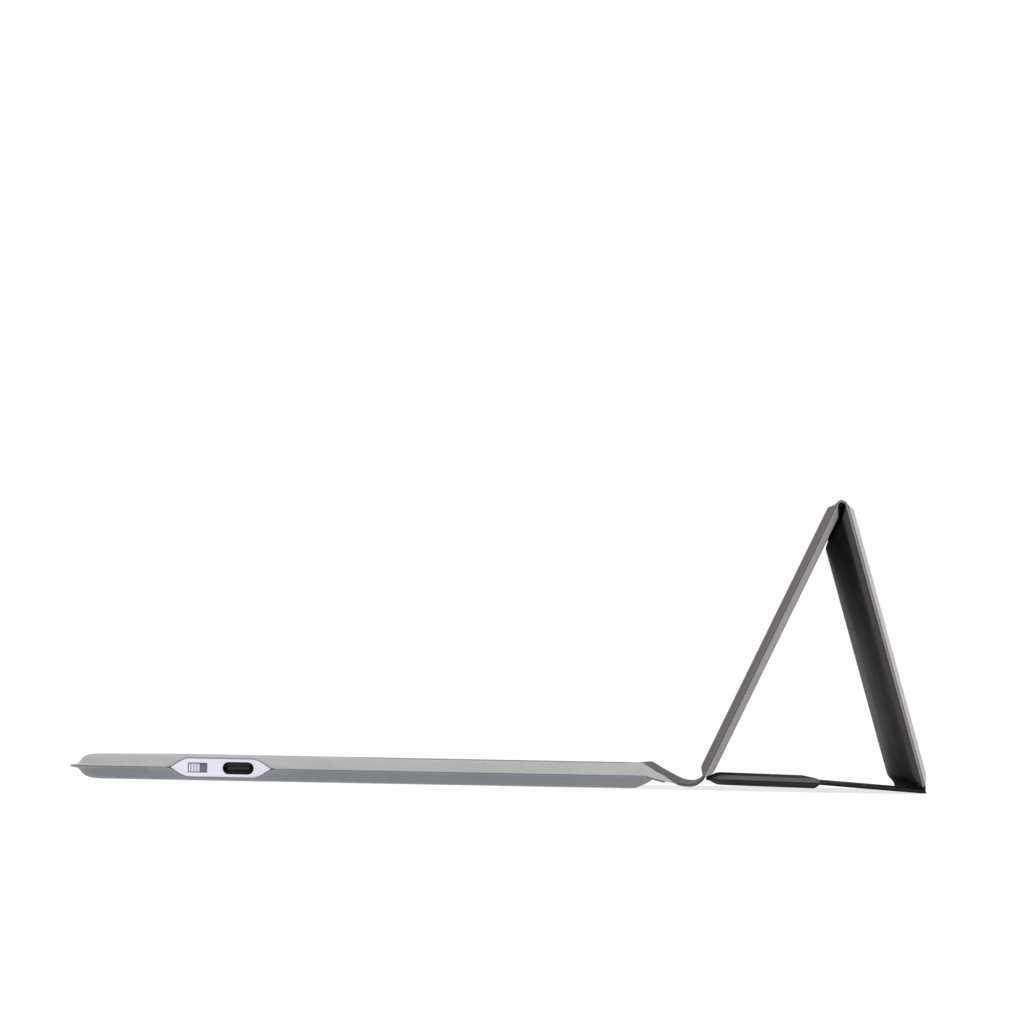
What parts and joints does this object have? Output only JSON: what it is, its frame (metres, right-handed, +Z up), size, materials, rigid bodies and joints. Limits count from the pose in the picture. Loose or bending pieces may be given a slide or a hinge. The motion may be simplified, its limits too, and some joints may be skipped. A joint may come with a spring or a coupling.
{
  "type": "tablet keyboard case",
  "caption": "Thin leatherette keyboard case for an 11-inch-class tablet, standing open with a folding triangular stand, touchpad, side power switch and charging socket.",
  "frame": {"origin": "centre of the base's flat underside, on the table", "axes": "+X to the typist's right, +Y away from the typist, +Z up"},
  "size_m": [0.25, 0.255, 0.0866],
  "materials": {
    "leatherette": "fine grain, matt",
    "lining": "smooth, matt",
    "deck_plastic": "matt",
    "key_plastic": "matt",
    "tray_plastic": "matt",
    "bezel_plastic": "satin",
    "knob_plastic": "satin",
    "touchpad_surface": "fine satin",
    "plate_metal": "rolled",
    "port_metal": "satin",
    "port_tongue": "matt",
    "magnet_metal": "nickel plated",
    "circuit_board": "solder mask",
    "battery_foil": "foil pouch",
    "dome_rubber": "silicone",
    "membrane_film": "film",
    "link_plastic": "natural",
    "stiffener_board": "fibre board",
    "light_pipe": "clear"
  },
  "bodies": {
    "base": {"top_skin": "leatherette", "bottom_skin": "leatherette", "key_frame": "deck_plastic", "base_tray": "tray_plastic", "backing_plate": "plate_metal", "key_membrane": "membrane_film", "rubber_domes": "dome_rubber", "key_scissors": "link_plastic", "stabiliser_bars": "port_metal", "main_board": "circuit_board", "battery": "battery_foil", "closure_magnets": "magnet_metal", "case_screws": "port_metal", "status_lights": "light_pipe", "port_bezel": "bezel_plastic", "usb_socket_shell": "port_metal", "usb_socket_tongue": "port_tongue", "switch_body": "port_metal", "touchpad_bracket": "plate_metal", "touchpad_click_dome": "port_metal"},
    "power_switch": {"switch_knob": "knob_plastic"},
    "touchpad": {"touchpad_plate": "touchpad_surface", "touchpad_board": "circuit_board"},
    "function_keys_body": {"function_keys": "key_plastic"},
    "number_keys_body": {"number_keys": "key_plastic"},
    "delete_key_body": {"delete_key": "key_plastic"},
    "tab_key_body": {"tab_key": "key_plastic"},
    "upper_letter_keys_body": {"upper_letter_keys": "key_plastic"},
    "caps_lock_key_body": {"caps_lock_key": "key_plastic"},
    "home_letter_keys_body": {"home_letter_keys": "key_plastic"},
    "return_key_body": {"return_key": "key_plastic"},
    "left_shift_key_body": {"left_shift_key": "key_plastic"},
    "lower_letter_keys_body": {"lower_letter_keys": "key_plastic"},
    "right_shift_key_body": {"right_shift_key": "key_plastic"},
    "left_modifier_keys_body": {"left_modifier_keys": "key_plastic"},
    "space_bar_body": {"space_bar": "key_plastic"},
    "right_modifier_keys_body": {"right_modifier_keys": "key_plastic"},
    "left_arrow_key_body": {"left_arrow_key": "key_plastic"},
    "up_arrow_key_body": {"up_arrow_key": "key_plastic"},
    "down_arrow_key_body": {"down_arrow_key": "key_plastic"},
    "right_arrow_key_body": {"right_arrow_key": "key_plastic"},
    "spine": {"spine_skin": "leatherette", "spine_lining": "lining"},
    "back_panel": {"back_panel_skin": "leatherette", "back_panel_board": "stiffener_board", "back_panel_lining": "lining", "tablet_magnets": "magnet_metal", "flap_keeper": "port_metal"},
    "rear_leg": {"rear_leg_skin": "leatherette", "rear_leg_board": "stiffener_board", "rear_leg_lining": "lining"},
    "foot_strip": {"foot_strip_skin": "leatherette", "foot_strip_lining": "lining"},
    "front_flap": {"front_flap_skin": "leatherette", "front_flap_board": "stiffener_board", "front_flap_lining": "lining", "flap_magnets": "magnet_metal"}
  },
  "joints": [
    {"name": "spine_fold", "type": "hinge", "parent": "base", "child": "spine", "pos_m": [0, 0.08495, 0.0036], "axis": [1, 0, 0], "range_deg": [0, 50.9]},
    {"name": "crease_fold", "type": "hinge", "parent": "spine", "child": "back_panel", "pos_m": [0, 0.10045, 0.0031], "axis": [1, 0, 0], "range_deg": [-64.9, 64.2]},
    {"name": "top_fold", "type": "hinge", "parent": "back_panel", "child": "rear_leg", "pos_m": [0, 0.14037, 0.0861], "axis": [1, 0, 0], "range_deg": [0, 138.7]},
    {"name": "foot_fold", "type": "hinge", "parent": "rear_leg", "child": "foot_strip", "pos_m": [0, 0.16614, 0.00049], "axis": [1, 0, 0], "range_deg": [0, 185]},
    {"name": "wrap_fold", "type": "hinge", "parent": "foot_strip", "child": "front_flap", "pos_m": [0, 0.14857, 0.00163], "axis": [1, 0, 0], "range_deg": [0, 102.3]},
    {"name": "power_switch_slide", "type": "slide", "parent": "base", "child": "power_switch", "axis": [0, 1, 0], "range_m": [0, 0.002]},
    {"name": "touchpad_click", "type": "hinge", "parent": "base", "child": "touchpad", "pos_m": [0, -0.022, 0.0061], "axis": [1, 0, 0], "range_deg": [0, 0.35], "stiffness_Nm_per_rad": 2.5, "springref_deg": -0.23},
    {"name": "function_keys_press", "type": "slide", "parent": "base", "child": "function_keys_body", "axis": [0, 0, 1], "range_m": [-0.001, 0], "stiffness_N_per_m": 400, "springref_m": 0.0006, "deforming": ["rubber_domes", "key_scissors"]},
    {"name": "number_keys_press", "type": "slide", "parent": "base", "child": "number_keys_body", "axis": [0, 0, 1], "range_m": [-0.001, 0], "stiffness_N_per_m": 400, "springref_m": 0.0006, "deforming": ["rubber_domes", "key_scissors"]},
    {"name": "delete_key_press", "type": "slide", "parent": "base", "child": "delete_key_body", "axis": [0, 0, 1], "range_m": [-0.001, 0], "stiffness_N_per_m": 400, "springref_m": 0.0006, "deforming": ["rubber_domes", "key_scissors"]},
    {"name": "tab_key_press", "type": "slide", "parent": "base", "child": "tab_key_body", "axis": [0, 0, 1], "range_m": [-0.001, 0], "stiffness_N_per_m": 400, "springref_m": 0.0006, "deforming": ["rubber_domes", "key_scissors"]},
    {"name": "upper_letter_keys_press", "type": "slide", "parent": "base", "child": "upper_letter_keys_body", "axis": [0, 0, 1], "range_m": [-0.001, 0], "stiffness_N_per_m": 400, "springref_m": 0.0006, "deforming": ["rubber_domes", "key_scissors"]},
    {"name": "caps_lock_key_press", "type": "slide", "parent": "base", "child": "caps_lock_key_body", "axis": [0, 0, 1], "range_m": [-0.001, 0], "stiffness_N_per_m": 400, "springref_m": 0.0006, "deforming": ["rubber_domes", "key_scissors"]},
    {"name": "home_letter_keys_press", "type": "slide", "parent": "base", "child": "home_letter_keys_body", "axis": [0, 0, 1], "range_m": [-0.001, 0], "stiffness_N_per_m": 400, "springref_m": 0.0006, "deforming": ["rubber_domes", "key_scissors"]},
    {"name": "return_key_press", "type": "slide", "parent": "base", "child": "return_key_body", "axis": [0, 0, 1], "range_m": [-0.001, 0], "stiffness_N_per_m": 400, "springref_m": 0.0006, "deforming": ["rubber_domes", "key_scissors"]},
    {"name": "left_shift_key_press", "type": "slide", "parent": "base", "child": "left_shift_key_body", "axis": [0, 0, 1], "range_m": [-0.001, 0], "stiffness_N_per_m": 400, "springref_m": 0.0006, "deforming": ["rubber_domes", "key_scissors"]},
    {"name": "lower_letter_keys_press", "type": "slide", "parent": "base", "child": "lower_letter_keys_body", "axis": [0, 0, 1], "range_m": [-0.001, 0], "stiffness_N_per_m": 400, "springref_m": 0.0006, "deforming": ["rubber_domes", "key_scissors"]},
    {"name": "right_shift_key_press", "type": "slide", "parent": "base", "child": "right_shift_key_body", "axis": [0, 0, 1], "range_m": [-0.001, 0], "stiffness_N_per_m": 400, "springref_m": 0.0006, "deforming": ["rubber_domes", "key_scissors"]},
    {"name": "left_modifier_keys_press", "type": "slide", "parent": "base", "child": "left_modifier_keys_body", "axis": [0, 0, 1], "range_m": [-0.001, 0], "stiffness_N_per_m": 400, "springref_m": 0.0006, "deforming": ["rubber_domes", "key_scissors"]},
    {"name": "space_bar_press", "type": "slide", "parent": "base", "child": "space_bar_body", "axis": [0, 0, 1], "range_m": [-0.001, 0], "stiffness_N_per_m": 400, "springref_m": 0.0006, "deforming": ["rubber_domes", "key_scissors"]},
    {"name": "right_modifier_keys_press", "type": "slide", "parent": "base", "child": "right_modifier_keys_body", "axis": [0, 0, 1], "range_m": [-0.001, 0], "stiffness_N_per_m": 400, "springref_m": 0.0006, "deforming": ["rubber_domes", "key_scissors"]},
    {"name": "left_arrow_key_press", "type": "slide", "parent": "base", "child": "left_arrow_key_body", "axis": [0, 0, 1], "range_m": [-0.001, 0], "stiffness_N_per_m": 400, "springref_m": 0.0006, "deforming": ["rubber_domes", "key_scissors"]},
    {"name": "up_arrow_key_press", "type": "slide", "parent": "base", "child": "up_arrow_key_body", "axis": [0, 0, 1], "range_m": [-0.001, 0], "stiffness_N_per_m": 400, "springref_m": 0.0006, "deforming": ["rubber_domes", "key_scissors"]},
    {"name": "down_arrow_key_press", "type": "slide", "parent": "base", "child": "down_arrow_key_body", "axis": [0, 0, 1], "range_m": [-0.001, 0], "stiffness_N_per_m": 400, "springref_m": 0.0006, "deforming": ["rubber_domes", "key_scissors"]},
    {"name": "right_arrow_key_press", "type": "slide", "parent": "base", "child": "right_arrow_key_body", "axis": [0, 0, 1], "range_m": [-0.001, 0], "stiffness_N_per_m": 400, "springref_m": 0.0006, "deforming": ["rubber_domes", "key_scissors"]}
  ]
}
